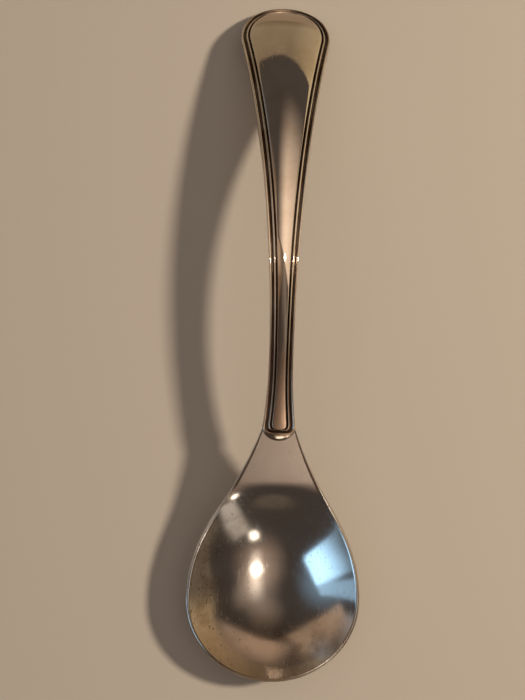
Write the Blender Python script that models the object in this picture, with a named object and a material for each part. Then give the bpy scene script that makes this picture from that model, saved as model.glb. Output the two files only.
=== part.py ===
"""Sauce spoon: a pressed steel bowl whose tang is cemented into a hollow handle of two stamped shells.

Each piece is laid out flat, as (across, along, up), and then bent over one side-view line of arcs. Across is
measured from the middle, along runs from the handle's end to the bowl's end, and up is square to the line.
Sizes are in millimetres, and the meshes made from them in metres.
"""

import math

import bmesh
import bpy
from mathutils import Vector

MM = 0.001
SHARP_ANGLE = math.radians(40)

# Side view: height and slope at the handle's end, then the length and turn in degrees of each arc
START_HEIGHT = 0.35
START_SLOPE = 32.0
SIDE_ARCS = (
    (88.0, -32.0),  # from the handle's end up to the crest
    (43.5, -15.0),  # from the crest down to the neck
    (13.0, -3.0),  # along the neck plate
    (20.0, 14.0),  # levelling out into the bowl
    (31.0, 4.0),  # along the rim to the bowl's end
)

# Handle outline: a round end, flanks that narrow along a parabola, and a short rounded lip at the neck
END_TIP = 1.5
END_RADIUS = 12.7
FLANK_ANGLE = math.radians(11.1)
WAIST_HALF = 3.2
MOUTH = 128.2
MOUTH_HALF = 4.3
LIP_LENGTH = 3.6
LIP_END = MOUTH + LIP_LENGTH
END_CENTRE = END_TIP + END_RADIUS
END_HALF = END_RADIUS * math.cos(FLANK_ANGLE)
FLANK_START = END_CENTRE + END_RADIUS * math.sin(FLANK_ANGLE)
WAIST = FLANK_START + 2 * (END_HALF - WAIST_HALF) / math.tan(FLANK_ANGLE)
END_STEPS = 12
FLANK_STEPS = 20
LIP_STEPS = 6

# Threaded border: its width, and where its crests lie as shares of that width from the outer edge.
# At the lip the bead broadens and the ridge runs out into the panel's end.
BORDER = 3.1
BORDER_SHARE = 0.75
BEAD_CREST = 0.17
RIDGE_CREST = 0.67
LIP_BORDER = 3.3
LIP_BEAD_CREST = 0.3
LIP_RIDGE_CREST = 0.95
FLUTE_DEPTH = 0.45
BEAD_ROLL = 0.45
THREAD_STEPS = 4

# Heights of one shell over the seam: its panel's edge, the crown of the panel, and the fall to the rim
END_HEIGHT = 1.9
WAIST_HEIGHT = 2.55
LIP_HEIGHT = 1.9
CROWN = 1.6
CROWN_SHARE = 0.16
NECK_CROWN_SHARE = 0.04
NECK_START = 85.0
RIM_FALL = 0.5
PANEL_SHARES = (0.35, 0.7)

# Shell walls, and the gap that touching pieces keep
SIDE_WALL = 0.5
LEAST_WALL = 0.4
LIP_FLOOR = 0.1
GAP = 0.15
SEAM_HALF = 0.1
MOUTH_RAMP = 0.7
INNER_DEPTH = FLUTE_DEPTH + LEAST_WALL

# Steel: sheet thickness, tang, neck flare and the drop-shaped bowl
STEEL = 1.2
TANG_END = 74.0
TANG_END_HALF = 0.9
TANG_ROOT_HALF = 1.7
SHOULDER = 128.4
FLARE_SLOPE = 0.34
FLARE_REACH = 21.4
WIDEST = 174.9
WIDEST_HALF = 22.95
WIDEST_REACH = 18.7
HOLLOW_START = 143.0
DEEPEST = 172.5
BEND_SOFTNESS = 0.2
CROSS_POWER = 2.1
WORN_FLAT = 0.28
TIP_TURN = math.radians(83.5)
TANG_ROWS = 11
FLARE_ROWS = 14
TIP_ROWS = 10
STEEL_COLUMNS = 16

# Solder strip inside the seam
SOLDER_WIDTH = 0.45
SOLDER_HALF = 0.3

# Filling
FILLER_END = 121.0
FILLER_SECTIONS = 18
POCKET_SECTIONS = 10
FILLER_SIDES = 16


def side_line(along):
    """Run and height of the side-view line after a length of it, and its slope there."""
    run, height, slope = 0.0, START_HEIGHT, math.radians(START_SLOPE)
    for length, turn in SIDE_ARCS:
        step = min(along, length)
        curve = math.radians(turn) / length
        run += (math.sin(slope + curve * step) - math.sin(slope)) / curve
        height += (math.cos(slope) - math.cos(slope + curve * step)) / curve
        slope += curve * step
        along -= step
    return run, height, slope


BOWL_END = sum(length for length, turn in SIDE_ARCS)
MIDDLE_RUN = (side_line(END_TIP)[0] + side_line(BOWL_END)[0]) / 2
BOWL_DEPTH = side_line(DEEPEST)[1] - STEEL / 2 + WORN_FLAT


def bend(across, along, up):
    """The place in the finished spoon of a point of the flat layout."""
    run, height, slope = side_line(along)
    return Vector((across, MIDDLE_RUN - run + up * math.sin(slope), height + up * math.cos(slope)))


def ease(share):
    """Smooth step from 0 to 1."""
    share = min(max(share, 0.0), 1.0)
    return share * share * (3 - 2 * share)


def capped(value, limit):
    """A value that levels out smoothly towards a limit."""
    return value / (1 + (value / limit) ** 4) ** (1 / 4)


def flank_half(along):
    """Half-width of the handle between its round end and its mouth."""
    if along < WAIST:
        return WAIST_HALF + (END_HALF - WAIST_HALF) * ((WAIST - along) / (WAIST - FLANK_START)) ** 2
    return WAIST_HALF + (MOUTH_HALF - WAIST_HALF) * ((along - WAIST) / (MOUTH - WAIST)) ** 2


def flank_slope(along):
    """How fast that half-width grows along the handle."""
    if along < WAIST:
        return -2 * (END_HALF - WAIST_HALF) * (WAIST - along) / (WAIST - FLANK_START) ** 2
    return 2 * (MOUTH_HALF - WAIST_HALF) * (along - WAIST) / (MOUTH - WAIST) ** 2


def border_width(half):
    """Width of the threaded border where the handle has a half-width: narrower where that is small."""
    return capped(BORDER_SHARE * half, BORDER)


class EdgeRow:
    """A point on the right half of the handle's outline, and what the section through it needs."""

    def __init__(self, across, along, out, half, hub, foot=SEAM_HALF, lip=0.0):
        self.across = across
        self.along = along
        self.out_across, self.out_along = out
        self.hub = hub
        self.foot = foot
        border = border_width(half)
        self.border = border + (LIP_BORDER - border) * lip
        self.bead = BEAD_CREST + (LIP_BEAD_CREST - BEAD_CREST) * lip
        self.ridge = RIDGE_CREST + (LIP_RIDGE_CREST - RIDGE_CREST) * lip

    def inset(self, depth):
        """The flat point at a depth in from the edge, square to it."""
        return self.across - self.out_across * depth, self.along - self.out_along * depth

    def towards_hub(self, share):
        """The flat point at a share of the way from the border to the middle line."""
        across, along = self.inset(self.border)
        return across * (1 - share), along + (self.hub - along) * share


def edge_rows():
    """The right half of the handle's outline, from the middle of its end to the middle of its lip."""
    rows = []
    for step in range(END_STEPS):
        turn = (math.pi / 2 + FLANK_ANGLE) * step / END_STEPS
        out = Vector((math.sin(turn), -math.cos(turn)))
        across, along = out.x * END_RADIUS, END_CENTRE + out.y * END_RADIUS
        rows.append(EdgeRow(across, along, out, END_HALF, END_CENTRE))
    for step in range(FLANK_STEPS + 1):
        along = FLANK_START + (MOUTH - MOUTH_RAMP - FLANK_START) * step / FLANK_STEPS
        half, slope = flank_half(along), flank_slope(along)
        out = Vector((1, -slope)).normalized()
        rows.append(EdgeRow(half, along, out, half, along + half * slope))
    for step in range(LIP_STEPS + 1):
        turn = math.pi / 2 * step / LIP_STEPS
        across, along = MOUTH_HALF * math.cos(turn), MOUTH + LIP_LENGTH * math.sin(turn)
        out = Vector((math.cos(turn) / MOUTH_HALF, math.sin(turn) / LIP_LENGTH)).normalized()
        rows.append(EdgeRow(across, along, out, MOUTH_HALF, MOUTH, STEEL / 2 + GAP, out.y**2))
    return rows


def panel_edge(along):
    """Height over the seam of the long edges of a shell's panel."""
    if along < WAIST:
        return END_HEIGHT + (WAIST_HEIGHT - END_HEIGHT) * ease((along - FLANK_START) / (WAIST - FLANK_START))
    return WAIST_HEIGHT - (WAIST_HEIGHT - LIP_HEIGHT) * ((along - WAIST) / (LIP_END - WAIST)) ** 2


def panel_crown(along):
    """Half-width of the panel and the height of its crown over its long edges, almost flat at the neck."""
    half = flank_half(min(max(along, FLANK_START), MOUTH))
    half -= border_width(half)
    neck = ease((along - NECK_START) / (WAIST - NECK_START))
    return half, capped((CROWN_SHARE + (NECK_CROWN_SHARE - CROWN_SHARE) * neck) * half, CROWN)


def panel_height(across, along):
    """Height of a shell's panel over the seam: crowned across, and falling off round the handle's end."""
    half, crown = panel_crown(along)
    beyond = max(END_CENTRE - along, 0.0)
    return panel_edge(along) + crown * (1 - (across / half) ** 2 - (beyond / half) ** 3)


def border_slope(row, share):
    """Height at a share of the border without its threads: from the level rim up to the panel."""
    rim = panel_edge(row.along) - RIM_FALL
    return rim + (panel_height(*row.inset(row.border)) - rim) * share


def border_height(row, share):
    """Height of the outer face at a share of the border: bead, flute, ridge, flute, panel."""
    height = border_slope(row, share)
    if share < row.bead:
        roll = 1 - math.sqrt(1 - (1 - share / row.bead) ** 2)
        return row.foot + (height - row.foot) * (1 - BEAD_ROLL * roll)
    start, end = (row.bead, row.ridge) if share < row.ridge else (row.ridge, 1.0)
    depth = FLUTE_DEPTH * min(1.0, (end - start) / (1 - RIDGE_CREST))
    return height - depth * math.sin(math.pi * (share - start) / (end - start)) ** 2


def panel_face(row, share, sunk=0.0):
    """A point of the panel, or of the inner face that lies sunk under it."""
    across, along = row.towards_hub(share)
    return across, along, panel_height(across, along) - sunk


def shell_section(row):
    """Points of a shell's section: from the middle over panel and border, round the wall and back inside."""
    shares = [0.0, row.bead / 2]
    for start, end in ((row.bead, row.ridge), (row.ridge, 1.0)):
        shares += [start + (end - start) * step / THREAD_STEPS for step in range(THREAD_STEPS)]
    shares.append(1.0)
    points = [panel_face(row, share) for share in (1.0, *reversed(PANEL_SHARES))]
    points += [(*row.inset(row.border * share), border_height(row, share)) for share in reversed(shares)]
    points.append((row.across, row.along, row.foot))
    points.append((*row.inset(SIDE_WALL), row.foot))
    ceiling = border_slope(row, SIDE_WALL / row.border) - INNER_DEPTH
    points.append((*row.inset(SIDE_WALL), max(ceiling, row.foot + LIP_FLOOR)))
    points += [panel_face(row, share, INNER_DEPTH) for share in (0.0, *PANEL_SHARES, 1.0)]
    return points


def add_loop(mesh, points, side):
    """Vertices for right-half points and their mirror images; points on the middle line are shared."""
    made = {}
    loop = []
    left = [(-across, along, up) for across, along, up in points[-2:0:-1]]
    for across, along, up in (*points, *left):
        key = (round(across, 6), round(along, 6), round(up, 6))
        if key not in made:
            made[key] = mesh.verts.new(bend(across, along, up * side) * MM)
        loop.append(made[key])
    return loop


def add_band(mesh, one, other, closed=True):
    """Faces between two rows of vertices, triangles where two neighbours are the same vertex."""
    for now in range(-1 if closed else 0, len(one) - 1):
        mesh.faces.new(dict.fromkeys((one[now], one[now + 1], other[now + 1], other[now])))


def add_object(name, mesh, material):
    """A named object from a closed mesh, with its faces turned outwards."""
    bmesh.ops.recalc_face_normals(mesh, faces=mesh.faces)
    data = bpy.data.meshes.new(name)
    mesh.to_mesh(data)
    mesh.free()
    data.shade_smooth()
    data.set_sharp_from_angle(angle=SHARP_ANGLE)
    data.materials.append(material)
    made = bpy.data.objects.new(name, data)
    bpy.context.collection.objects.link(made)
    return made


def plain_material(name, colour, roughness, metallic):
    """A plain Principled material."""
    material = bpy.data.materials.new(name)
    material.use_nodes = True
    shader = material.node_tree.nodes["Principled BSDF"]
    shader.inputs["Base Color"].default_value = (*colour, 1)
    shader.inputs["Roughness"].default_value = roughness
    shader.inputs["Metallic"].default_value = metallic
    return material


def handle_shell(name, side, rows, material):
    """One stamped half of the handle: crowned panel, threaded border, side wall and hollow inside."""
    mesh = bmesh.new()
    loops = zip(*[shell_section(row) for row in rows])
    made = [add_loop(mesh, points, side) for points in loops]
    for one, other in zip(made, made[1:]):
        add_band(mesh, one, other)
    return add_object(name, mesh, material)


def tang_half(along):
    """Half-width of the tapered tang."""
    return TANG_END_HALF + (TANG_ROOT_HALF - TANG_END_HALF) * (along - TANG_END) / (MOUTH - TANG_END)


def steel_outline():
    """(along, half-width) of the steel from the tang's end to the bowl's end."""
    rows = [TANG_END + (MOUTH - TANG_END) * step / (TANG_ROWS - 1) for step in range(TANG_ROWS)]
    rows = [(along, tang_half(along)) for along in rows]
    flare = (
        Vector((SHOULDER, MOUTH_HALF)),
        Vector((SHOULDER + FLARE_REACH, MOUTH_HALF + FLARE_REACH * FLARE_SLOPE)),
        Vector((WIDEST - WIDEST_REACH, WIDEST_HALF)),
        Vector((WIDEST, WIDEST_HALF)),
    )
    for step in range(FLARE_ROWS):
        share = step / FLARE_ROWS
        weights = ((1 - share) ** 3, 3 * share * (1 - share) ** 2, 3 * share**2 * (1 - share), share**3)
        rows.append(tuple(sum((point * weight for point, weight in zip(flare, weights)), Vector((0, 0)))))
    for step in range(TIP_ROWS):
        turn = TIP_TURN * step / (TIP_ROWS - 1)
        rows.append((WIDEST + (BOWL_END - WIDEST) * math.sin(turn), WIDEST_HALF * math.cos(turn)))
    return rows


def hollow_depth(along):
    """How far the middle of the steel dips under the side-view line: nothing on tang and plate."""
    if along < HOLLOW_START:
        return 0.0
    if along > DEEPEST:
        return BOWL_DEPTH * (1 - ((along - DEEPEST) / (BOWL_END - DEEPEST)) ** 2)
    share = (along - HOLLOW_START) / (DEEPEST - HOLLOW_START)
    ramp = (1 + BEND_SOFTNESS) * share**2 / (share + BEND_SOFTNESS)
    return BOWL_DEPTH * (1 - (1 - ramp) ** 2)


def bowl_drop(across, along, half):
    """How far a point of the steel dips under the side-view line, which the rim follows."""
    return hollow_depth(along) * (1 - abs(across / half) ** CROSS_POWER)


def bowl(material):
    """The bowl, neck plate and tang, pressed from one sheet, with a small worn flat where it rests."""
    middle = bmesh.new()
    rows = []
    for along, half in steel_outline():
        places = [half * (2 * column / STEEL_COLUMNS - 1) for column in range(STEEL_COLUMNS + 1)]
        points = [bend(across, along, -bowl_drop(across, along, half)) for across in places]
        rows.append([middle.verts.new(point) for point in points])
    for one, other in zip(rows, rows[1:]):
        add_band(middle, one, other, closed=False)
    bmesh.ops.recalc_face_normals(middle, faces=middle.faces)
    middle.normal_update()
    facing = 1 if rows[0][0].normal.z > 0 else -1

    mesh = bmesh.new()
    offset = facing * STEEL / 2
    upper = [[mesh.verts.new((vert.co + vert.normal * offset) * MM) for vert in row] for row in rows]
    lower = [[mesh.verts.new((vert.co - vert.normal * offset) * MM) for vert in row] for row in rows]
    middle.free()
    for row in lower:
        for vert in row:
            vert.co.z = max(vert.co.z, 0.0)
    for face_rows in (upper, lower):
        for one, other in zip(face_rows, face_rows[1:]):
            add_band(mesh, one, other, closed=False)
    for column in (0, -1):
        add_band(mesh, [row[column] for row in upper], [row[column] for row in lower], closed=False)
    for row in (0, -1):
        add_band(mesh, upper[row], lower[row], closed=False)
    return add_object("bowl", mesh, material)


def tube(name, sections, material):
    """A closed solid through sections of equal length, capped at both ends."""
    mesh = bmesh.new()
    loops = [[mesh.verts.new(bend(*point) * MM) for point in section] for section in sections]
    for one, other in zip(loops, loops[1:]):
        add_band(mesh, one, other)
    mesh.faces.new(loops[0])
    mesh.faces.new(loops[-1])
    return add_object(name, mesh, material)


def seam_solder(rows, material):
    """The strip of solder behind the seam, from one side of the mouth round the end to the other."""
    right = [row for row in rows if row.along < FILLER_END]
    sections = []
    for side, row in [(-1, row) for row in right[:0:-1]] + [(1, row) for row in right]:
        outer = row.inset(SIDE_WALL + GAP)
        inner = row.inset(SIDE_WALL + GAP + SOLDER_WIDTH)
        corners = ((outer, SOLDER_HALF), (inner, SOLDER_HALF), (inner, -SOLDER_HALF), (outer, -SOLDER_HALF))
        sections.append([(side * across, along, up) for (across, along), up in corners])
    return tube("seam_solder", sections, material)


def handle_filler(material):
    """The cement core, with a pocket that takes the tang from the mouth side."""
    turns = [2 * math.pi * side / FILLER_SIDES for side in range(FILLER_SIDES)]
    sections = []
    for step in range(FILLER_SECTIONS):
        along = FLANK_START + (FILLER_END - FLANK_START) * step / (FILLER_SECTIONS - 1)
        wide = flank_half(along) - SIDE_WALL - SOLDER_WIDTH - 2 * GAP
        high = panel_edge(along) + panel_crown(along)[1] / 2 - INNER_DEPTH - GAP
        sections.append([(wide * math.cos(turn), along, high * math.sin(turn)) for turn in turns])
    corner = math.sqrt(2)
    for step in range(POCKET_SECTIONS):
        along = FILLER_END - (FILLER_END - TANG_END + GAP) * step / (POCKET_SECTIONS - 1)
        wide, high = tang_half(along) + GAP, STEEL / 2 + GAP
        sections.append(
            [
                (
                    wide * min(max(corner * math.cos(turn), -1), 1),
                    along,
                    high * min(max(corner * math.sin(turn), -1), 1),
                )
                for turn in turns
            ]
        )
    return tube("handle_filler", sections, material)


def main():
    for old in list(bpy.data.objects):
        bpy.data.objects.remove(old)
    silver = plain_material("silver", (0.80, 0.76, 0.70), 0.2, 1.0)
    steel = plain_material("stainless_steel", (0.60, 0.58, 0.56), 0.14, 1.0)
    solder = plain_material("hard_solder", (0.70, 0.67, 0.60), 0.4, 1.0)
    cement = plain_material("resin_cement", (0.42, 0.33, 0.24), 0.8, 0.0)
    rows = edge_rows()
    pieces = [
        bowl(steel),
        handle_shell("handle_front_shell", 1, rows, silver),
        handle_shell("handle_back_shell", -1, rows, silver),
        seam_solder(rows, solder),
        handle_filler(cement),
    ]
    spoon = bpy.data.objects.new("spoon", None)
    bpy.context.collection.objects.link(spoon)
    for piece in pieces:
        piece.parent = spoon


main()
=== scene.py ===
"""Looks of the sauce spoon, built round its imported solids.

The pieces are sized in millimetres; meshes, finishes, lamps and the camera's place are in metres.
"""

import math

import bmesh
import bpy
import numpy as np
from mathutils import Matrix, Vector


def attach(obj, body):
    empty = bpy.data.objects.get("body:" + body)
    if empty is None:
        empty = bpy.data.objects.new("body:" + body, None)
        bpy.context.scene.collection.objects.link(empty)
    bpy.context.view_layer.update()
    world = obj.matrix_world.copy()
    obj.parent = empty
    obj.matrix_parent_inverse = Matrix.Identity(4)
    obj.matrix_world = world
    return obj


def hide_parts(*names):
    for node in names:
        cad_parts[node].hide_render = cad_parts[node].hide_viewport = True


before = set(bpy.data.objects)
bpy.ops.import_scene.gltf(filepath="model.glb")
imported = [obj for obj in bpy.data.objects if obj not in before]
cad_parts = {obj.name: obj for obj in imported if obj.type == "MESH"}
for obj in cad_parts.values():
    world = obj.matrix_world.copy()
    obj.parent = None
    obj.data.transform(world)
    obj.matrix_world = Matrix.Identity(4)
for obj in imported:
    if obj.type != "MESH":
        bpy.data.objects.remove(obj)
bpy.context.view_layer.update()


# The bowl, its neck plate and the tang inside the handle are one sheet of stainless steel. The blank is cut
# to a drop-shaped outline, bent over the side-view line and pressed hollow, and its edge is rounded and
# polished.
MM = 0.001
SIDE_HEIGHT = 0.35
SIDE_SLOPE = 32.0
SIDE_ARCS = ((88.0, -32.0), (43.5, -15.0), (13.0, -3.0), (20.0, 14.0), (31.0, 4.0))
END_TIP = 1.5
MOUTH = 128.2
MOUTH_HALF = 4.3
STEEL = 1.2
TANG_END = 74.0
TANG_END_HALF = 0.9
TANG_ROOT_HALF = 1.7
SHOULDER = 128.4
FLARE_SLOPE = 0.34
FLARE_REACH = 21.4
WIDEST = 174.9
WIDEST_HALF = 22.95
WIDEST_REACH = 18.7
HOLLOW_START = 143.0
DEEPEST = 172.5
BEND_SOFTNESS = 0.2
CROSS_POWER = 2.1
WORN_FLAT = 0.28
TIP_TURN = math.radians(88.5)
SIDE_STEPS = 400
FLARE_STEPS = 120
TIP_STEPS = 100


def side_line(along):
    """Run, height and slope of the side-view line at lengths from the handle's end."""
    along = np.asarray(along, float)
    run = np.zeros_like(along)
    height = np.full_like(along, SIDE_HEIGHT)
    slope = np.full_like(along, math.radians(SIDE_SLOPE))
    start = 0.0
    for length, turn in SIDE_ARCS:
        step = np.clip(along - start, 0, length)
        curve = math.radians(turn) / length
        run += (np.sin(slope + curve * step) - np.sin(slope)) / curve
        height += (np.cos(slope) - np.cos(slope + curve * step)) / curve
        slope += curve * step
        start += length
    return run, height, slope


BOWL_END = sum(length for length, turn in SIDE_ARCS)
MIDDLE_RUN = (side_line(END_TIP)[0] + side_line(BOWL_END)[0]) / 2
BOWL_DEPTH = float(side_line(DEEPEST)[1]) - STEEL / 2 + WORN_FLAT


def bend(across, along, up):
    """Places in the finished spoon, in metres, of points of the flat layout."""
    run, height, slope = side_line(along)
    places = (across + 0 * run, MIDDLE_RUN - run + up * np.sin(slope), height + up * np.cos(slope))
    return np.stack(places, axis=-1) * MM


def steel_outline():
    """(half-width, along) of the steel from the tang's end to the bowl's end."""
    tang = [(TANG_END_HALF, TANG_END), (TANG_ROOT_HALF, MOUTH)]
    share = np.linspace(0, 1, FLARE_STEPS)[:, None]
    flare = (
        (1 - share) ** 3 * np.array((MOUTH_HALF, SHOULDER))
        + 3 * share * (1 - share) ** 2
        * np.array((MOUTH_HALF + FLARE_REACH * FLARE_SLOPE, SHOULDER + FLARE_REACH))
        + 3 * share**2 * (1 - share) * np.array((WIDEST_HALF, WIDEST - WIDEST_REACH))
        + share**3 * np.array((WIDEST_HALF, WIDEST))
    )
    turn = np.linspace(0, TIP_TURN, TIP_STEPS)[1:]
    tip = np.stack((WIDEST_HALF * np.cos(turn), WIDEST + (BOWL_END - WIDEST) * np.sin(turn)), axis=1)
    return np.concatenate((tang, flare, tip))


def guide_line(name, points):
    """A line that a node tree samples; it is removed once the piece is made."""
    data = bpy.data.curves.new(name, "CURVE")
    data.dimensions = "3D"
    spline = data.splines.new("POLY")
    spline.points.add(len(points) - 1)
    for knot, place in zip(spline.points, points):
        knot.co = (*place, 1.0)
    line = bpy.data.objects.new(name, data)
    bpy.context.collection.objects.link(line)
    return line


def add_node(tree, kind, inputs=None, **settings):
    """A node with its settings and inputs, each a value or another node's socket."""
    node = tree.nodes.new(kind)
    for name, value in settings.items():
        setattr(node, name, value)
    for name, value in (inputs or {}).items():
        if isinstance(value, bpy.types.NodeSocket):
            tree.links.new(value, node.inputs[name])
        else:
            node.inputs[name].default_value = value
    return node


def work_out(tree, operation, *values):
    """The result of one Math node."""
    return add_node(tree, "ShaderNodeMath", dict(enumerate(values)), operation=operation).outputs[0]


def new_tree(name, kind, inputs, outputs):
    """A node tree with named sockets, and its inputs and outputs."""
    tree = bpy.data.node_groups.new(name, kind)
    for label, socket in inputs:
        tree.interface.new_socket(label, in_out="INPUT", socket_type="NodeSocket" + socket)
    for label, socket in outputs:
        tree.interface.new_socket(label, in_out="OUTPUT", socket_type="NodeSocket" + socket)
    return tree, add_node(tree, "NodeGroupInput").outputs, add_node(tree, "NodeGroupOutput")


def bowl_tree():
    """A sheet that fills an outline, follows the side-view line and is pressed hollow under it."""
    sizes = ("Hollow Start", "Deepest", "Bowl End", "Bowl Depth", "Bend Softness", "Cross Power", "Crowding")
    tree, given, made = new_tree(
        "pressed_bowl",
        "GeometryNodeTree",
        [("Side Line", "Object"), ("Outline", "Object"), ("Columns", "Int"), ("Rows", "Int")]
        + [(size, "Float") for size in sizes]
        + [("Material", "Material")],
        [("Geometry", "Geometry")],
    )
    start, deepest, end = given["Hollow Start"], given["Deepest"], given["Bowl End"]
    softness = given["Bend Softness"]
    blank = add_node(
        tree,
        "GeometryNodeMeshGrid",
        {"Size X": 2.0, "Size Y": 1.0, "Vertices X": given["Columns"], "Vertices Y": given["Rows"]},
    )
    place = add_node(tree, "GeometryNodeInputPosition")
    column, row, flat = add_node(tree, "ShaderNodeSeparateXYZ", {0: place.outputs[0]}).outputs
    outline = add_node(tree, "GeometryNodeObjectInfo", {"Object": given["Outline"]})
    edge = add_node(
        tree,
        "GeometryNodeSampleCurve",
        {"Curves": outline.outputs["Geometry"], "Factor": work_out(tree, "ADD", row, 0.5)},
        mode="FACTOR",
    )
    half, along, level = add_node(tree, "ShaderNodeSeparateXYZ", {0: edge.outputs["Position"]}).outputs
    crowded = work_out(tree, "SINE", work_out(tree, "MULTIPLY", column, given["Crowding"]))
    share = work_out(tree, "DIVIDE", crowded, work_out(tree, "SINE", given["Crowding"]))
    across = work_out(tree, "MULTIPLY", share, half)

    into = add_node(tree, "ShaderNodeMapRange", {"Value": along, "From Min": start, "From Max": deepest})
    into = into.outputs[0]
    squared = work_out(tree, "MULTIPLY", into, into)
    ramp = work_out(tree, "DIVIDE", squared, work_out(tree, "ADD", into, softness))
    ramp = work_out(tree, "MULTIPLY", ramp, work_out(tree, "ADD", softness, 1.0))
    beyond = add_node(tree, "ShaderNodeMapRange", {"Value": along, "From Min": deepest, "From Max": end})
    missing = work_out(tree, "SUBTRACT", 1.0, ramp)
    near = work_out(tree, "SUBTRACT", 1.0, work_out(tree, "POWER", missing, 2.0))
    far = work_out(tree, "SUBTRACT", 1.0, work_out(tree, "POWER", beyond.outputs[0], 2.0))
    hollow = work_out(tree, "MULTIPLY", work_out(tree, "MULTIPLY", near, far), given["Bowl Depth"])
    curved = work_out(tree, "POWER", work_out(tree, "ABSOLUTE", share), given["Cross Power"])
    drop = work_out(tree, "MULTIPLY", hollow, work_out(tree, "SUBTRACT", 1.0, curved))

    side = add_node(tree, "GeometryNodeObjectInfo", {"Object": given["Side Line"]})
    line = add_node(
        tree,
        "GeometryNodeSampleCurve",
        {"Curves": side.outputs["Geometry"], "Length": along},
        mode="LENGTH",
    )
    sideways = (1.0, 0.0, 0.0)
    up = add_node(
        tree,
        "ShaderNodeVectorMath",
        {0: line.outputs["Tangent"], 1: sideways},
        operation="CROSS_PRODUCT",
    )
    down = add_node(
        tree,
        "ShaderNodeVectorMath",
        {0: up.outputs[0], "Scale": work_out(tree, "MULTIPLY", drop, -1.0)},
        operation="SCALE",
    )
    out = add_node(tree, "ShaderNodeCombineXYZ", {"X": across})
    pressed = add_node(tree, "ShaderNodeVectorMath", {0: line.outputs["Position"], 1: down.outputs[0]})
    pressed = add_node(tree, "ShaderNodeVectorMath", {0: pressed.outputs[0], 1: out.outputs[0]})
    shape = blank.outputs["Mesh"]
    for name, value in (("along", along), ("edge", work_out(tree, "ABSOLUTE", share))):
        kept = {"Geometry": shape, "Name": name, "Value": value}
        store = add_node(
            tree, "GeometryNodeStoreNamedAttribute", kept, data_type="FLOAT", domain="POINT"
        )
        shape = store.outputs[0]
    formed = add_node(tree, "GeometryNodeSetPosition", {"Geometry": shape, "Position": pressed.outputs[0]})
    smooth = add_node(tree, "GeometryNodeSetShadeSmooth", {"Geometry": formed.outputs[0]})
    real = add_node(tree, "GeometryNodeRealizeInstances", {"Geometry": smooth.outputs[0]})
    coated = add_node(
        tree, "GeometryNodeSetMaterial", {"Geometry": real.outputs[0], "Material": given["Material"]}
    )
    tree.links.new(coated.outputs[0], made.inputs["Geometry"])
    return tree


def new_piece(name, mesh=None):
    """An object in the scene for a mesh."""
    piece = bpy.data.objects.new(name, mesh or bpy.data.meshes.new(name))
    bpy.context.collection.objects.link(piece)
    return piece


def grow(piece, tree, values):
    """Puts a node tree on a piece and sets the tree's inputs by their sockets."""
    modifier = piece.modifiers.new(tree.name, "NODES")
    modifier.node_group = tree
    for item in tree.interface.items_tree:
        if item.in_out == "INPUT" and item.name in values:
            modifier[item.identifier] = values[item.name]


def bake(piece):
    """Turns what a piece's modifiers make into its plain mesh."""
    bpy.context.view_layer.update()
    graph = bpy.context.evaluated_depsgraph_get()
    made = bpy.data.meshes.new_from_object(
        piece.evaluated_get(graph), preserve_all_data_layers=True, depsgraph=graph
    )
    piece.modifiers.clear()
    piece.data = made


def new_finish(name, metallic, **constants):
    """A material with its shader, its tree and the object's own coordinates."""
    finish = bpy.data.materials.new(name)
    finish.use_nodes = True
    tree = finish.node_tree
    shader = tree.nodes["Principled BSDF"]
    shader.inputs["Metallic"].default_value = metallic
    for socket, value in constants.items():
        shader.inputs[socket].default_value = value
    return finish, tree, shader, add_node(tree, "ShaderNodeTexCoord").outputs["Object"]


def blend_colour(tree, share, one, other):
    """The colour between two others."""
    node = add_node(tree, "ShaderNodeMix", data_type="RGBA")
    for socket, value in ((0, share), (6, one), (7, other)):
        if isinstance(value, bpy.types.NodeSocket):
            tree.links.new(value, node.inputs[socket])
        else:
            node.inputs[socket].default_value = value
    return node.outputs[2]


def spread(tree, value, low, high, least=0.0, most=1.0):
    """A value stretched from one range to another, and kept in it."""
    limits = {"Value": value, "From Min": low, "From Max": high, "To Min": least, "To Max": most}
    return add_node(tree, "ShaderNodeMapRange", limits).outputs[0]


SCRATCH_TURNS = ((0.35, 0.2), (1.45, -0.15), (2.5, 0.1))
SCRATCH_STRETCH = (1.0, 0.03, 1.0)
SCRATCH_EDGE = 0.06


def scratch_group():
    """Fine scratches from polishing and use, in three directions, as a mask."""
    tree, given, made = new_tree(
        "fine_scratches",
        "ShaderNodeTree",
        [("Vector", "Vector"), ("Spacing", "Float"), ("Share", "Float")],
        [("Mask", "Float")],
    )
    total = 0.0
    for turn, tilt in SCRATCH_TURNS:
        turned = add_node(
            tree,
            "ShaderNodeMapping",
            {"Vector": given["Vector"], "Rotation": (0.0, tilt, turn), "Scale": SCRATCH_STRETCH},
        )
        streak = add_node(
            tree,
            "ShaderNodeTexNoise",
            {"Vector": turned.outputs[0], "Scale": given["Spacing"], "Detail": 3.0, "Roughness": 0.6},
        )
        limit = work_out(tree, "SUBTRACT", 1.0, given["Share"])
        line = spread(tree, streak.outputs["Fac"], limit, work_out(tree, "ADD", limit, SCRATCH_EDGE))
        total = work_out(tree, "MAXIMUM", line, total)
    tree.links.new(total, made.inputs["Mask"])
    return tree


FILM_EDGE = 0.22
DROPS_PER_PATCH = 14.0
DROP_EDGE = (0.30, 0.12)
DROP_RARITY = (0.72, 0.76)


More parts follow.
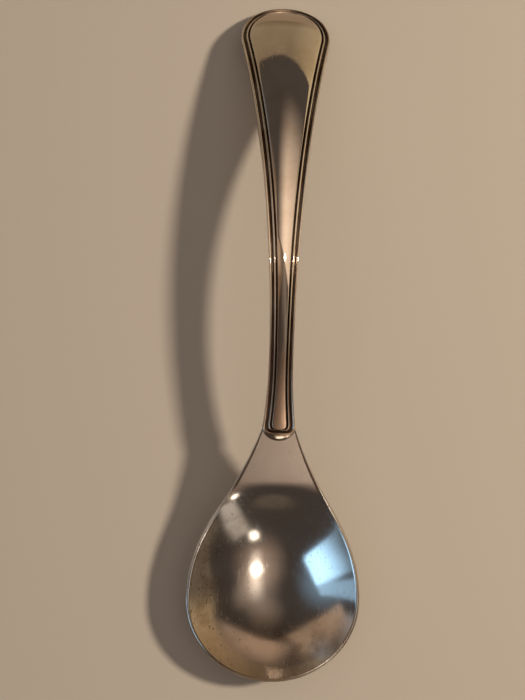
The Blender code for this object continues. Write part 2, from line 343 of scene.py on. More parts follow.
def stain_group():
    """Dried drops and a dull film, each as a mask. A limit thins out the film."""
    tree, given, made = new_tree(
        "dried_stains",
        "ShaderNodeTree",
        [("Vector", "Vector"), ("Size", "Float"), ("Limit", "Float")],
        [("Specks", "Float"), ("Film", "Float")],
    )
    cloud = add_node(
        tree,
        "ShaderNodeTexNoise",
        {"Vector": given["Vector"], "Scale": given["Size"], "Detail": 6.0, "Roughness": 0.65},
    )
    thick = work_out(tree, "ADD", given["Limit"], FILM_EDGE)
    film = spread(tree, cloud.outputs["Fac"], given["Limit"], thick)
    close = work_out(tree, "MULTIPLY", given["Size"], DROPS_PER_PATCH)
    dots = add_node(tree, "ShaderNodeTexVoronoi", {"Vector": given["Vector"], "Scale": close})
    round_dot = spread(tree, dots.outputs["Distance"], *DROP_EDGE)
    few = add_node(tree, "ShaderNodeSeparateColor", {0: dots.outputs["Color"]}).outputs[0]
    specks = work_out(tree, "MULTIPLY", round_dot, spread(tree, few, *DROP_RARITY))
    tree.links.new(specks, made.inputs["Specks"])
    tree.links.new(film, made.inputs["Film"])
    return tree


SCRATCHES = scratch_group()
STAINS = stain_group()
RIPPLE_STRENGTH = 0.5
RIPPLE_DEPTH = 0.00003


def ripple(tree, shader, height):
    """Lets a height bend the surface's reflections a little."""
    bump = add_node(
        tree, "ShaderNodeBump", {"Height": height, "Strength": RIPPLE_STRENGTH, "Distance": RIPPLE_DEPTH}
    )
    tree.links.new(bump.outputs[0], shader.inputs["Normal"])


STEEL_CLEAN = (0.60, 0.575, 0.55, 1.0)
STEEL_DULL = (0.30, 0.235, 0.18, 1.0)
STEEL_BROWN = (0.11, 0.075, 0.05, 1.0)
STEEL_ROUGH = 0.12
PLATE_FADE = (0.1445, 0.1425)
PLATE_FILM = 0.3
PLATE_SCRATCHES = 0.3
LEFT_FADE = (-0.004, -0.018)
LOWER_FADE = (-0.076, -0.086)
FILM_SHARES = (0.12, 0.9)
SPECK_SHARES = (0.25, 0.8)
WORN_LOWER = (-0.074, -0.084)
WORN_ACROSS = (0.010, 0.002)
WORN_SHARE = 0.9
EDGE_BROWN_INNER = (0.88, 0.92)
EDGE_BROWN_OUTER = (0.985, 0.965)
EDGE_BROWN_ALONG = (0.150, 0.144)


def steel_finish():
    """Polished steel: fine scratches, dulled at the bowl's left and tip, darker brown along the plate's
    edges.
    """
    finish, tree, shader, place = new_finish("polished_steel", 1.0)
    scratches = add_node(
        tree, "ShaderNodeGroup", {"Vector": place, "Spacing": 1800.0, "Share": 0.37}, node_tree=SCRATCHES
    )
    stains = add_node(
        tree, "ShaderNodeGroup", {"Vector": place, "Size": 70.0, "Limit": 0.42}, node_tree=STAINS
    )
    along = add_node(tree, "ShaderNodeAttribute", attribute_name="along").outputs["Fac"]
    edge = add_node(tree, "ShaderNodeAttribute", attribute_name="edge").outputs["Fac"]
    across, length, height = add_node(tree, "ShaderNodeSeparateXYZ", {0: place}).outputs
    plate = spread(tree, along, *PLATE_FADE)
    left = spread(tree, across, *LEFT_FADE)
    used = work_out(tree, "MAXIMUM", left, work_out(tree, "MULTIPLY", plate, PLATE_FILM))
    used = work_out(tree, "MAXIMUM", used, spread(tree, length, *LOWER_FADE))
    film = work_out(tree, "MULTIPLY", stains.outputs["Film"], spread(tree, used, 0.0, 1.0, *FILM_SHARES))
    worn = work_out(tree, "MULTIPLY", spread(tree, length, *WORN_LOWER), spread(tree, across, *WORN_ACROSS))
    dotted = spread(tree, left, 0.0, 1.0, *SPECK_SHARES)
    specks = work_out(tree, "MULTIPLY", stains.outputs["Specks"], dotted)
    # The plate's edges are darkened to brown.
    browned_edge = work_out(tree, "MULTIPLY", spread(tree, edge, *EDGE_BROWN_INNER), spread(tree, edge, *EDGE_BROWN_OUTER))
    browned_edge = work_out(tree, "MULTIPLY", browned_edge, spread(tree, along, *EDGE_BROWN_ALONG))
    specks = work_out(tree, "MAXIMUM", specks, browned_edge)
    colour = blend_colour(tree, film, STEEL_CLEAN, STEEL_DULL)
    colour = blend_colour(tree, work_out(tree, "MULTIPLY", worn, WORN_SHARE), colour, STEEL_DULL)
    colour = blend_colour(tree, specks, colour, STEEL_BROWN)
    tree.links.new(colour, shader.inputs["Base Color"])
    scored = spread(tree, plate, 0.0, 1.0, 1.0, PLATE_SCRATCHES)
    scored = work_out(tree, "MULTIPLY", scratches.outputs["Mask"], scored)
    rough = STEEL_ROUGH
    for mask, added in ((scored, 0.12), (film, 0.14), (plate, 0.08), (specks, 0.25)):
        rough = work_out(tree, "MULTIPLY_ADD", mask, added, rough)
    tree.links.new(rough, shader.inputs["Roughness"])
    waves = add_node(tree, "ShaderNodeTexNoise", {"Vector": place, "Scale": 140.0, "Detail": 2.0})
    ripple(tree, shader, waves.outputs["Fac"])
    return finish


side_places = bend(0.0, np.linspace(0, BOWL_END, SIDE_STEPS), 0.0)
side_guide = guide_line("side_line", side_places)
outline_guide = guide_line("outline", [(half * MM, along * MM, 0.0) for half, along in steel_outline()])
bowl = new_piece("bowl_and_tang")
grow(
    bowl,
    bowl_tree(),
    {
        "Side Line": side_guide,
        "Outline": outline_guide,
        "Columns": 45,
        "Rows": 180,
        "Hollow Start": HOLLOW_START * MM,
        "Deepest": DEEPEST * MM,
        "Bowl End": BOWL_END * MM,
        "Bowl Depth": BOWL_DEPTH * MM,
        "Bend Softness": BEND_SOFTNESS,
        "Cross Power": CROSS_POWER,
        "Crowding": 1.2,
        "Material": steel_finish(),
    },
)
sheet = bowl.modifiers.new("sheet", "SOLIDIFY")
sheet.thickness = STEEL * MM
sheet.offset = 0.0
rounding = bowl.modifiers.new("rounded_edge", "SUBSURF")
rounding.levels = 1
rounding.render_levels = 1
bake(bowl)
for guide in (side_guide, outline_guide):
    bpy.data.objects.remove(guide)
for point in bowl.data.vertices:
    point.co.z = max(point.co.z, 0.0)
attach(bowl, "root")
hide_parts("bowl")


# The handle is two alike stampings of silver, front and back, set edge to edge. Each has a crowned panel in a
# border of two threads, a bead and a ridge with a flute behind each, and closes in a rounded lip over the
# plate.
END_RADIUS = 12.7
FLANK_ANGLE = math.radians(11.1)
WAIST_HALF = 3.2
LIP_LENGTH = 3.6
LIP_END = MOUTH + LIP_LENGTH
END_CENTRE = END_TIP + END_RADIUS
END_HALF = END_RADIUS * math.cos(FLANK_ANGLE)
FLANK_START = END_CENTRE + END_RADIUS * math.sin(FLANK_ANGLE)
WAIST = FLANK_START + 2 * (END_HALF - WAIST_HALF) / math.tan(FLANK_ANGLE)
BORDER = 2.6
BORDER_SHARE = 0.75
BEAD_CREST = 0.1
RIDGE_CREST = 0.67
LIP_BORDER = 3.3
LIP_BEAD_CREST = 0.62
LIP_RIDGE_CREST = 0.99
FLUTE_DEPTH = 0.45
BEAD_ROLL = 0.45
END_HEIGHT = 1.9
WAIST_HEIGHT = 2.55
LIP_HEIGHT = 1.9
CROWN = 1.6
CROWN_SHARE = 0.16
NECK_CROWN_SHARE = 0.04
NECK_START = 85.0
RIM_FALL = 0.5
SIDE_WALL = 0.5
LEAST_WALL = 0.4
LIP_FLOOR = 0.1
GAP = 0.15
SEAM_HALF = 0.1
MOUTH_RAMP = 0.7
INNER_DEPTH = FLUTE_DEPTH + LEAST_WALL
END_WEAR = 0.85
NECK_THINNING = 0.3
PANEL_ROUNDING = 1.6
PANEL_NARROWING = 0.5
END_STEPS = 48
FLANK_STEPS = 150
LIP_STEPS = 33
PANEL_STEPS = 13
INNER_FLUTE_STEPS = 12
OUTER_FLUTE_STEPS = 14
ROLL_STEPS = 9
INSIDE_STEPS = 8
WELD = 1e-7
SHARP_ANGLE = math.radians(50)


def ease(share):
    """Smooth step from 0 to 1."""
    share = np.clip(share, 0, 1)
    return share * share * (3 - 2 * share)


def capped(value, limit):
    """A value that levels out smoothly towards a limit."""
    return value / (1 + (value / limit) ** 4) ** (1 / 4)


def flank(along):
    """Half-width of the handle between its round end and its mouth, and how fast it grows."""
    out_wide, in_wide = END_HALF - WAIST_HALF, MOUTH_HALF - WAIST_HALF
    before, after = (WAIST - along) / (WAIST - FLANK_START), (along - WAIST) / (MOUTH - WAIST)
    half = WAIST_HALF + np.where(along < WAIST, out_wide * before**2, in_wide * after**2)
    grown = np.where(
        along < WAIST, -2 * out_wide * before / (WAIST - FLANK_START), 2 * in_wide * after / (MOUTH - WAIST)
    )
    return half, grown


def handle_edge():
    """The right half's outline as columns: across, along, outward across and along, half, hub, foot, lip."""
    turn = np.linspace(0, math.pi / 2 + FLANK_ANGLE, END_STEPS + 1)[:-1]
    one = np.ones_like(turn)
    out = np.stack((np.sin(turn), -np.cos(turn)))
    end = (out[0] * END_RADIUS, END_CENTRE + out[1] * END_RADIUS, *out)
    end += (one * END_HALF, one * END_CENTRE, one * SEAM_HALF, one * 0)
    along = np.linspace(FLANK_START, MOUTH - MOUTH_RAMP, FLANK_STEPS)
    one = np.ones_like(along)
    half, grown = flank(along)
    tilt = np.hypot(1, grown)
    side = (half, along, 1 / tilt, -grown / tilt, half, along + half * grown, one * SEAM_HALF, one * 0)
    turn = np.linspace(0, math.pi / 2, LIP_STEPS)
    one = np.ones_like(turn)
    out = np.stack((np.cos(turn) / MOUTH_HALF, np.sin(turn) / LIP_LENGTH))
    out /= np.hypot(*out)
    lip = (MOUTH_HALF * np.cos(turn), MOUTH + LIP_LENGTH * np.sin(turn), *out, one * MOUTH_HALF, one * MOUTH)
    lip += (one * (STEEL / 2 + GAP), out[1] ** 2)
    return [np.concatenate(parts)[:, None] for parts in zip(end, side, lip)]


def panel_edge(along):
    """Height over the seam of the long edges of a shell's panel."""
    rise = END_HEIGHT + (WAIST_HEIGHT - END_HEIGHT) * ease((along - FLANK_START) / (WAIST - FLANK_START))
    fall = WAIST_HEIGHT - (WAIST_HEIGHT - LIP_HEIGHT) * ((along - WAIST) / (LIP_END - WAIST)) ** 2
    return np.where(along < WAIST, rise, fall)


def panel_height(across, along):
    """Height of a shell's panel over the seam: crowned, falling off round the end, flatter at the neck."""
    half = flank(np.clip(along, FLANK_START, MOUTH))[0]
    half = half - capped(BORDER_SHARE * half, BORDER)
    neck = ease((along - NECK_START) / (WAIST - NECK_START))
    crown = capped((CROWN_SHARE + (NECK_CROWN_SHARE - CROWN_SHARE) * neck) * half, CROWN)
    beyond = np.maximum(END_CENTRE - along, 0)
    return panel_edge(along) + crown * (1 - (across / half) ** 2 - (beyond / half) ** 3)


def shell_points():
    """Flat points (across, along, up) of the right half's sections, and how much tarnish each can hold."""
    across, along, out_across, out_along, half, hub, foot, lip = handle_edge()
    rounding = np.clip(1 - (MOUTH - along) / PANEL_ROUNDING, 0, 1) ** 2
    border = capped(BORDER_SHARE * half, BORDER) + PANEL_NARROWING * rounding
    border = border + (LIP_BORDER - border) * lip
    bead = BEAD_CREST + (LIP_BEAD_CREST - BEAD_CREST) * lip
    ridge = RIDGE_CREST + (LIP_RIDGE_CREST - RIDGE_CREST) * lip
    inner_across, inner_along = across - out_across * border, along - out_along * border
    rim = panel_edge(along) - RIM_FALL
    rise = panel_height(inner_across, inner_along) - rim

    def on_panel(share, sunk):
        x, y = inner_across * (1 - share), inner_along + (hub - inner_along) * share
        return np.stack((x, y, panel_height(x, y) - sunk), axis=-1)

    def on_border(share, up):
        x, y = across - out_across * border * share, along - out_along * border * share
        return np.stack((x, y, up + 0 * x), axis=-1)

    panel = on_panel(np.linspace(1, 0, PANEL_STEPS + 1)[None, :-1], 0.0)
    inner_start = np.linspace(1, 0, INNER_FLUTE_STEPS + 1)[None, :-1]
    outer_start = np.linspace(1, 0, OUTER_FLUTE_STEPS + 1)[None, :-1]
    inner_share = ridge + (1 - ridge) * inner_start
    outer_share = bead + (ridge - bead) * outer_start
    depths = [FLUTE_DEPTH * np.minimum(1, wide / (1 - RIDGE_CREST)) for wide in (1 - ridge, ridge - bead)]
    inner_dip, outer_dip = np.sin(math.pi * inner_start) ** 2, np.sin(math.pi * outer_start) ** 2
    inner_flute = on_border(inner_share, rim + rise * inner_share - depths[0] * inner_dip)
    outer_flute = on_border(outer_share, rim + rise * outer_share - depths[1] * outer_dip)
    roll_turn = np.linspace(0, math.pi / 2, ROLL_STEPS)[None, :]
    roll_share = bead * (1 - np.sin(roll_turn))
    roll_up = foot + (rim + rise * roll_share - foot) * (1 - BEAD_ROLL * (1 - np.cos(roll_turn)))
    roll = on_border(roll_share, roll_up)
    wall = SIDE_WALL / border
    ceiling = np.maximum(rim + rise * wall - INNER_DEPTH, foot + LIP_FLOOR)
    sides = [on_border(0 * wall, foot), on_border(wall, foot), on_border(wall, ceiling)]
    inside = on_panel(np.linspace(0, 1, INSIDE_STEPS)[None, :], INNER_DEPTH)
    points = np.concatenate([panel, inner_flute, outer_flute, roll, *sides, inside], axis=1)
    flute = np.zeros(points.shape[:2])
    first, second = panel.shape[1], panel.shape[1] + inner_flute.shape[1]
    kept = 1 - END_WEAR * np.maximum(-out_along, 0) ** 2
    thinned = NECK_THINNING * ease((along - END_CENTRE) / (WAIST - END_CENTRE)) * (1 - lip)
    flute[:, first:second] = inner_dip * kept
    flute[:, second : second + outer_flute.shape[1]] = np.maximum(outer_dip * kept - thinned, 0)
    return points, flute


def stamped_shell(name, side, finish):
    """One half of the handle: the right half's sections and their mirror image, closed into one body."""
    points, flute = shell_points()
    mirrored = points[-2:0:-1] * np.array((-1, 1, 1))
    points = np.concatenate((points, mirrored))
    flute = np.concatenate((flute, flute[-2:0:-1]))
    rows, columns = flute.shape
    places = bend(points[..., 0], points[..., 1], points[..., 2] * side).reshape(-1, 3)
    number = np.arange(rows * columns).reshape(rows, columns)
    ahead = np.roll(number, -1, axis=0)
    faces = np.stack((number[:, :-1], number[:, 1:], ahead[:, 1:], ahead[:, :-1]), axis=-1).reshape(-1, 4)
    mesh = bpy.data.meshes.new(name)
    mesh.from_pydata(places.tolist(), [], faces.tolist())
    mesh.attributes.new("flute", "FLOAT", "POINT").data.foreach_set("value", flute.ravel())
    body = bmesh.new()
    body.from_mesh(mesh)
    bmesh.ops.remove_doubles(body, verts=body.verts, dist=WELD)
    bmesh.ops.recalc_face_normals(body, faces=body.faces)
    body.to_mesh(mesh)
    body.free()
    mesh.shade_smooth()
    mesh.set_sharp_from_angle(angle=SHARP_ANGLE)
    mesh.materials.append(finish)
    return new_piece(name, mesh)


PATCH_WEAR = (0.25, 0.6, 0.8, 1.0)
FLUTE_FADE = (0.03, 0.45)
HAZE_FADE = (0.42, 0.75)


def tarnish_group():
    """Brown tarnish that stays in the flutes and fades over their crests, broken up by handling."""
    tree, given, made = new_tree(
        "flute_tarnish",
        "ShaderNodeTree",
        [("Vector", "Vector"), ("Flute", "Float"), ("Patch Size", "Float")],
        [("Mask", "Float"), ("Haze", "Float")],
    )
    patches = add_node(
        tree,
        "ShaderNodeTexNoise",
        {"Vector": given["Vector"], "Scale": given["Patch Size"], "Detail": 5.0, "Roughness": 0.6},
    )
    worn = spread(tree, patches.outputs["Fac"], *PATCH_WEAR)
    deep = spread(tree, given["Flute"], *FLUTE_FADE)
    tree.links.new(work_out(tree, "MULTIPLY", deep, worn), made.inputs["Mask"])
    tree.links.new(spread(tree, patches.outputs["Fac"], *HAZE_FADE), made.inputs["Haze"])
    return tree


SILVER_BRIGHT = (0.78, 0.72, 0.64, 1.0)
SILVER_WARM = (0.60, 0.50, 0.40, 1.0)
# Dull silver of the neck, also used as painted shade on the neck's left.
SILVER_DULL_AND_SHADE = (0.29, 0.195, 0.135, 1.0)
# Painted shade: a darker silver for the very end of the fan.
SILVER_END_SHADE = (0.51, 0.42, 0.33, 1.0)
TARNISH_BROWN = (0.05, 0.027, 0.014, 1.0)
SILVER_ROUGH = 0.035
HAZE_SHARE = 0.6
NECK_SHARE = 0.8
NECK_FADE = (0.004, -0.012)
NECK_END = (-0.0318, -0.0302)
# Where the neck's left is painted in shade.
NECK_SHADE_START = (0.0145, 0.0105)
NECK_SHADE_INNER = (-0.0002, -0.0009)
NECK_SHADE_OUTER = (-0.0018, -0.0014)
# Where the fan's very end is painted darker.
FAN_END_SHADE = (0.0862, 0.0888)
SCRATCH_LIFT = -0.02


def silver_finish():
    """Polished silver, warm with age: tarnished flutes, fine scratches, a dull neck with painted shade on its
    left, and painted shade at the fan's very end.
    """
    finish, tree, shader, place = new_finish("aged_silver", 1.0)
    flute = add_node(tree, "ShaderNodeAttribute", attribute_name="flute").outputs["Fac"]
    tarnish = add_node(
        tree,
        "ShaderNodeGroup",
        {"Vector": place, "Flute": flute, "Patch Size": 120.0},
        node_tree=tarnish_group(),
    )
    haze, tarnished = tarnish.outputs["Haze"], tarnish.outputs["Mask"]
    scratches = add_node(
        tree, "ShaderNodeGroup", {"Vector": place, "Spacing": 1300.0, "Share": 0.38}, node_tree=SCRATCHES
    )
    scored = scratches.outputs["Mask"]
    across, length, height = add_node(tree, "ShaderNodeSeparateXYZ", {0: place}).outputs
    # Painted shade: the left of the neck, just under the ridge's highlights, takes the dull neck's darker
    # colour too.
    left = spread(tree, across, *NECK_SHADE_INNER)
    left = work_out(tree, "MULTIPLY", left, spread(tree, across, *NECK_SHADE_OUTER))
    left = work_out(tree, "MULTIPLY", left, spread(tree, length, *NECK_SHADE_START))
    neck = work_out(tree, "MAXIMUM", left, spread(tree, length, *NECK_FADE))
    neck = work_out(tree, "MULTIPLY", neck, spread(tree, length, *NECK_END))
    colour = blend_colour(tree, work_out(tree, "MULTIPLY", haze, HAZE_SHARE), SILVER_BRIGHT, SILVER_WARM)
    # The neck gets dull silver, darker still as painted shade on its left.
    colour = blend_colour(tree, work_out(tree, "MULTIPLY", neck, NECK_SHARE), colour, SILVER_DULL_AND_SHADE)
    # Painted shade: the fan's very end is darkened, standing in for a darker reflection there.
    colour = blend_colour(tree, spread(tree, length, *FAN_END_SHADE), colour, SILVER_END_SHADE)
    colour = blend_colour(tree, tarnished, colour, TARNISH_BROWN)
    tree.links.new(colour, shader.inputs["Base Color"])
    rough = SILVER_ROUGH
    for mask, added in ((scored, 0.05), (neck, 0.15), (haze, 0.05), (tarnished, 0.25)):
        rough = work_out(tree, "MULTIPLY_ADD", mask, added, rough)
    tree.links.new(rough, shader.inputs["Roughness"])
    waves = add_node(tree, "ShaderNodeTexNoise", {"Vector": place, "Scale": 160.0, "Detail": 2.0})
    ripple(tree, shader, work_out(tree, "MULTIPLY_ADD", scored, SCRATCH_LIFT, waves.outputs["Fac"]))
    return finish


silver = silver_finish()
for name, side in (("handle_front_shell", 1), ("handle_back_shell", -1)):
    shell = stamped_shell("stamped_" + name, side, silver)
    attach(shell, "root")
    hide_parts(name)


# Hard solder joins the two stampings. It fills the seam between their edges as a thin drawn line, from one
# side of the mouth round the handle's end to the other. A strip of it, the solid, lies behind the walls.
SOLDER_RADIUS = 0.13
SOLDER_INSET = 0.17
SOLDER_GREY = (0.5, 0.46, 0.4, 1.0)
SOLDER_BROWN = (0.24, 0.19, 0.14, 1.0)


def solder_tree():
    """A round line drawn along a path, closed at its ends."""
    tree, given, made = new_tree(
        "solder_line",
        "GeometryNodeTree",
        [("Path", "Object"), ("Radius", "Float"), ("Sides", "Int"), ("Material", "Material")],
        [("Geometry", "Geometry")],
    )
    path = add_node(tree, "GeometryNodeObjectInfo", {"Object": given["Path"]})
    profile = add_node(
        tree, "GeometryNodeCurvePrimitiveCircle", {"Resolution": given["Sides"], "Radius": given["Radius"]}
    )
    drawn = add_node(
        tree,
        "GeometryNodeCurveToMesh",
        {"Curve": path.outputs["Geometry"], "Profile Curve": profile.outputs[0], "Fill Caps": True},
    )
    smooth = add_node(tree, "GeometryNodeSetShadeSmooth", {"Geometry": drawn.outputs[0]})
    real = add_node(tree, "GeometryNodeRealizeInstances", {"Geometry": smooth.outputs[0]})
    coated = add_node(
        tree, "GeometryNodeSetMaterial", {"Geometry": real.outputs[0], "Material": given["Material"]}
    )
    tree.links.new(coated.outputs[0], made.inputs["Geometry"])
    return tree


def solder_finish():
    """Hard solder: a duller, greyer silver with grainy tarnish."""
    finish, tree, shader, place = new_finish("hard_solder", 1.0)
    grain = add_node(tree, "ShaderNodeTexNoise", {"Vector": place, "Scale": 900.0, "Detail": 4.0})
    grain = grain.outputs["Fac"]
    colour = blend_colour(tree, spread(tree, grain, 0.35, 0.65), SOLDER_GREY, SOLDER_BROWN)
    tree.links.new(colour, shader.inputs["Base Color"])
    tree.links.new(spread(tree, grain, 0.3, 0.7, 0.3, 0.5), shader.inputs["Roughness"])
    return finish


solder = solder_finish()
edge = [column[:-LIP_STEPS, 0] for column in handle_edge()]
right = np.stack((edge[0] - edge[2] * SOLDER_INSET, edge[1] - edge[3] * SOLDER_INSET), axis=1)
path = np.concatenate((right[:0:-1] * np.array((-1, 1)), right))
path_guide = guide_line("seam_path", bend(path[:, 0], path[:, 1], 0.0))
seam = new_piece("seam_solder_line")
grow(seam, solder_tree(), {"Path": path_guide, "Radius": SOLDER_RADIUS * MM, "Sides": 10, "Material": solder})
bake(seam)
bpy.data.objects.remove(path_guide)
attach(seam, "root")
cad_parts["seam_solder"].data.materials[0] = solder


# Resin cement fills the handle and grips the tang. It is poured in through the mouth and never shows, so the
# solid stays as it is and only gets its dull, speckled brown.
CEMENT_DARK = (0.34, 0.26, 0.18, 1.0)
CEMENT_LIGHT = (0.5, 0.41, 0.31, 1.0)
cement, tree, shader, place = new_finish("resin_cement", 0.0)
speckle = add_node(tree, "ShaderNodeTexNoise", {"Vector": place, "Scale": 400.0, "Detail": 5.0})
speckle = speckle.outputs["Fac"]
brown = blend_colour(tree, spread(tree, speckle, 0.35, 0.7), CEMENT_DARK, CEMENT_LIGHT)
tree.links.new(brown, shader.inputs["Base Color"])
tree.links.new(spread(tree, speckle, 0.3, 0.7, 0.7, 0.9), shader.inputs["Roughness"])
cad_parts["handle_filler"].data.materials[0] = cement


# The spoon lies on a plain pale table whose edge sweeps up all round, high behind the handle and at the right
# and low elsewhere. A warm lamp at the right throws the shadow and a wide one fills it. All other lamps are
# there for the metal's reflections only: cool ones at the left, warm ones over the bowl and the handle.
TABLE = (0.60, 0.535, 0.455, 1.0)
SWEEP_GLOW = (0.12, 0.09, 0.05, 1.0)
SWEEP_START = 1.3
SWEEP_END = 1.7
SWEEP_LOW = 0.165
SWEEP_HIGH = 0.72
SWEEP_MIDDLE = math.radians(62.0)
SWEEP_WIDE = math.radians(103.0)
SWEEP_FALL = math.radians(35.0)
SWEEP_RIGHT = 0.15
GLOW_START = 0.5
GLOW_BEHIND = (-0.35, 0.15, 0.1, 1.0)
GLOW_RIGHT = (0.2, 1.4, 1.0, 5.5)


def table_mesh():
    """A round table with its swept-up edge."""
    rings, spokes = 24, 96
    turns = np.linspace(0, 2 * math.pi, spokes, endpoint=False)
    away = np.abs(np.angle(np.exp(1j * (turns - SWEEP_MIDDLE))))
    high = SWEEP_HIGH + SWEEP_RIGHT * np.maximum(np.cos(turns), 0)
    top = SWEEP_LOW + (high - SWEEP_LOW) * ease((SWEEP_WIDE - away) / SWEEP_FALL)
    places = [np.zeros((1, 3))]
    for share in np.linspace(0, 1, rings):
        radius = SWEEP_START + (SWEEP_END - SWEEP_START) * math.sin(share * math.pi / 2)
        rise = top * (1 - math.cos(share * math.pi / 2))
        places.append(np.stack((radius * np.cos(turns), radius * np.sin(turns), rise), axis=1))
    faces = [(0, 1 + now, 1 + (now + 1) % spokes) for now in range(spokes)]
    for ring in range(rings - 1):
        first = 1 + ring * spokes
        for now in range(spokes):
            ahead = (now + 1) % spokes
            faces.append((first + now, first + spokes + now, first + spokes + ahead, first + ahead))
    mesh = bpy.data.meshes.new("table")
    mesh.from_pydata(np.concatenate(places).tolist(), [], faces)
    mesh.shade_smooth()
    return mesh


table = new_piece("table", table_mesh())
table_finish, tree, shader, place = new_finish("pale_table", 0.0, Roughness=0.9)
shader.inputs["Base Color"].default_value = TABLE
shader.inputs["Emission Color"].default_value = SWEEP_GLOW
far = add_node(tree, "ShaderNodeVectorMath", {0: place}, operation="LENGTH").outputs["Value"]
rays = add_node(tree, "ShaderNodeLightPath").outputs
seen = work_out(tree, "MAXIMUM", rays["Is Camera Ray"], rays["Is Glossy Ray"])
seen = work_out(tree, "MAXIMUM", seen, rays["Is Transmission Ray"])
side, length, height = add_node(tree, "ShaderNodeSeparateXYZ", {0: place}).outputs
glow = work_out(tree, "MULTIPLY", spread(tree, length, *GLOW_BEHIND), spread(tree, side, *GLOW_RIGHT))
glow = work_out(tree, "MULTIPLY", glow, spread(tree, far, GLOW_START, SWEEP_START))
glow = work_out(tree, "MULTIPLY", seen, glow)
tree.links.new(glow, shader.inputs["Emission Strength"])
table.data.materials.append(table_finish)


def soft_light(name, place, target, size, power, colour, shape="RECTANGLE"):
    """An area lamp aimed at a point."""
    data = bpy.data.lights.new(name, "AREA")
    data.shape = shape
    data.size, data.size_y = size
    data.energy = power
    data.color = colour
    lamp = bpy.data.objects.new(name, data)
    lamp.location = place
    lamp.rotation_euler = (Vector(target) - Vector(place)).to_track_quat("-Z", "Y").to_euler()
    lamp.visible_camera = False
    bpy.context.collection.objects.link(lamp)
    return lamp


def feather(lamp, left, right, near, far):
    """Fades a lamp's light in from its four edges, each over a share of its width or length."""
    lamp.data.use_nodes = True
    tree = lamp.data.node_tree
    spot = add_node(tree, "ShaderNodeNewGeometry").outputs["Parametric"]
    wide, long, flat = add_node(tree, "ShaderNodeSeparateXYZ", {0: spot}).outputs
    glow = 1.0
    for value, low, high in ((wide, left, right), (long, near, far)):
        for inward, share in ((value, low), (work_out(tree, "SUBTRACT", 1.0, value), high)):
            limits = {"Value": inward, "From Max": share}
            fade = add_node(tree, "ShaderNodeMapRange", limits, interpolation_type="SMOOTHSTEP")
            glow = work_out(tree, "MULTIPLY", fade.outputs[0], glow)
    tree.links.new(glow, tree.nodes["Emission"].inputs["Strength"])


def hung_sheet(name, place, turn, size, power, colour, fades):
    """A soft light that faces straight down, turned in its plane, for the metal's reflections only."""
    lamp = soft_light(name, place, (*place[:2], 0.0), size, power, colour)
    lamp.rotation_euler = (0.0, 0.0, math.radians(turn))
    lamp.visible_diffuse = False
    feather(lamp, *fades)


WARM = (1.0, 0.86, 0.70)
TAN = (1.0, 0.75, 0.56)
AMBER = (1.0, 0.68, 0.48)
STRAW = (1.0, 0.66, 0.41)
SHADE = (1.0, 0.90, 0.86)
COOL = (0.42, 0.72, 1.0)
PALE = (0.95, 0.95, 1.0)
ORIGIN = (0.0, 0.0, 0.0)
BOWL_MIDDLE = (0.0, -0.066, 0.005)
UNDER_PLATE = (0.0, -0.05, 0.0)
OVER_HANDLE = (0.0022, 0.0516, 0.0496)
RIDGE = (0.0, 0.016, 0.027)
HANDLE_MIDDLE = (0.0, 0.05, 0.02)
LIP_LAMP_SPREAD = math.radians(120.0)
key = soft_light("right_lamp", (0.75, 0.13, 0.75), ORIGIN, (0.12, 0.12), 8.5, WARM, "DISK")
fill = soft_light("fill_light", (-0.2, 0.0, 1.2), ORIGIN, (2.0, 2.0), 4.0, SHADE)
for lamp in (key, fill):
    lamp.visible_glossy = False
ridge_lamp = soft_light("ridge_lamp", (0.0028, 0.021, 0.0462), RIDGE, (0.002, 0.002), 0.0013, WARM, "DISK")
lip_lamp = soft_light("lip_lamp", (0.0022, -0.0484, 0.0296), OVER_HANDLE, (0.006, 0.0035), 0.00015, WARM)
lip_lamp.data.spread = LIP_LAMP_SPREAD
halo = soft_light("ridge_halo", (0.16, 0.27, 0.95), ORIGIN, (0.85, 0.85), 0.55, TAN)
upper_lamp = soft_light("upper_front_lamp", (0.316, -0.516, 0.832), BOWL_MIDDLE, (0.28, 0.28), 2.6, WARM)
lower_lamp = soft_light("lower_front_lamp", (0.325, -0.887, 0.455), BOWL_MIDDLE, (0.20, 0.20), 1.07, WARM)
front = soft_light("front_light", (0.35, -0.72, 1.0), UNDER_PLATE, (1.5, 1.5), 3.0, AMBER)
window = soft_light("left_window", (-0.865, -0.661, 0.44), BOWL_MIDDLE, (0.52, 0.85), 3.8, COOL)
side_window = soft_light("left_side_window", (-1.02, -0.32, 0.44), BOWL_MIDDLE, (0.18, 0.75), 0.35, COOL)
left_glow = soft_light("left_glow", (-1.1, -0.4, 1.0), BOWL_MIDDLE, (1.6, 1.6), 2.4, COOL)
patch = soft_light("right_front_card", (0.55, -0.92, 0.26), BOWL_MIDDLE, (0.42, 0.40), 0.32, WARM)
card = soft_light("left_card", (-0.35, 0.06, 0.09), HANDLE_MIDDLE, (0.28, 0.16), 0.063, PALE)
left_back = soft_light("left_back_light", (-0.756, 0.756, 0.545), ORIGIN, (0.6, 0.5), 0.2, COOL)
soft_lamps = (halo, upper_lamp, lower_lamp, front, left_glow, left_back)
cards = (patch, card)
for lamp in soft_lamps:
    feather(lamp, 0.5, 0.5, 0.5, 0.5)
for lamp in cards:
    feather(lamp, 0.3, 0.3, 0.3, 0.3)
feather(window, left=0.02, right=0.02, near=0.75, far=0.02)
for lamp in (ridge_lamp, lip_lamp, window, side_window, *soft_lamps, *cards):
    lamp.visible_diffuse = False
hung_sheet("front_strip", (0.40, -0.55, 1.0), 9.0, (0.46, 1.4), 2.2, WARM, (0.5, 0.5, 0.4, 0.4))
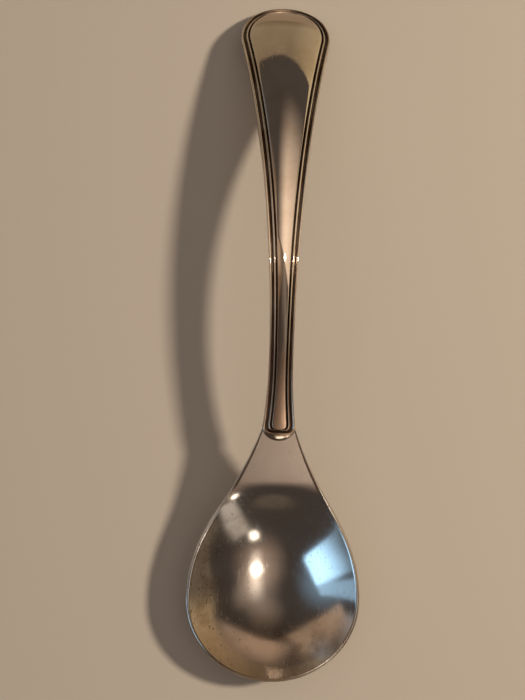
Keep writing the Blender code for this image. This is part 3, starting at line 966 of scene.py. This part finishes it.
hung_sheet("bowl_glow", (0.068, -0.095, 0.16), 0.0, (0.20, 0.19), 0.055, TAN, (0.5, 0.5, 0.5, 0.5))
hung_sheet("back_sheet", (0.117, 0.095, 0.12), -18.0, (0.32, 0.18), 0.16, TAN, (0.2, 0.65, 0.03, 0.85))
hung_sheet("left_sheet", (-0.172, 0.051, 0.12), 28.2, (0.284, 0.20), 0.082, STRAW, (0.1, 0.15, 0.03, 0.85))

ROOM = (1.0, 0.78, 0.64, 1.0)
ROOM_STRENGTH = 0.075
world = bpy.data.worlds.new("room")
world.use_nodes = True
room = world.node_tree.nodes["Background"]
room.inputs["Color"].default_value = ROOM
room.inputs["Strength"].default_value = ROOM_STRENGTH
bpy.context.scene.world = world
bpy.context.scene.view_settings.view_transform = "Standard"


# The camera looks down almost square from above, as the photograph does, from a little on the bowl's side.
# Its focal length and its middle are in pixels of a picture that is WIDE by TALL.
DISTANCE = 0.32
TARGET = Vector((0.0, 0.0004, 0.012))
LEAN = math.radians(3.0)
ELEVATION = math.radians(82.0)
ROLL = 0.024
FOCAL = 1173.0
MIDDLE = (279.65, 324.1)
WIDE, TALL = 525, 700
SENSOR = 36.0
CLIP_START = 0.01

back = Vector((-math.sin(LEAN), -math.cos(ELEVATION), 0.0))
back.z = math.sqrt(1 - back.x**2 - back.y**2)
upward = (Vector((0, 1, 0)) - back * back.y).normalized()
rightward = upward.cross(back)
turned_right = rightward * math.cos(ROLL) + upward * math.sin(ROLL)
turned_up = upward * math.cos(ROLL) - rightward * math.sin(ROLL)
camera = bpy.data.objects.new("camera", bpy.data.cameras.new("camera"))
camera.data.sensor_width = SENSOR
camera.data.lens = SENSOR * FOCAL / TALL
camera.data.shift_x = (WIDE / 2 - MIDDLE[0]) / TALL
camera.data.shift_y = (MIDDLE[1] - TALL / 2) / TALL
camera.data.clip_start = CLIP_START
aim = Matrix((turned_right, turned_up, back)).transposed().to_4x4()
camera.matrix_world = Matrix.Translation(TARGET + back * DISTANCE) @ aim
bpy.context.collection.objects.link(camera)
bpy.context.scene.camera = camera
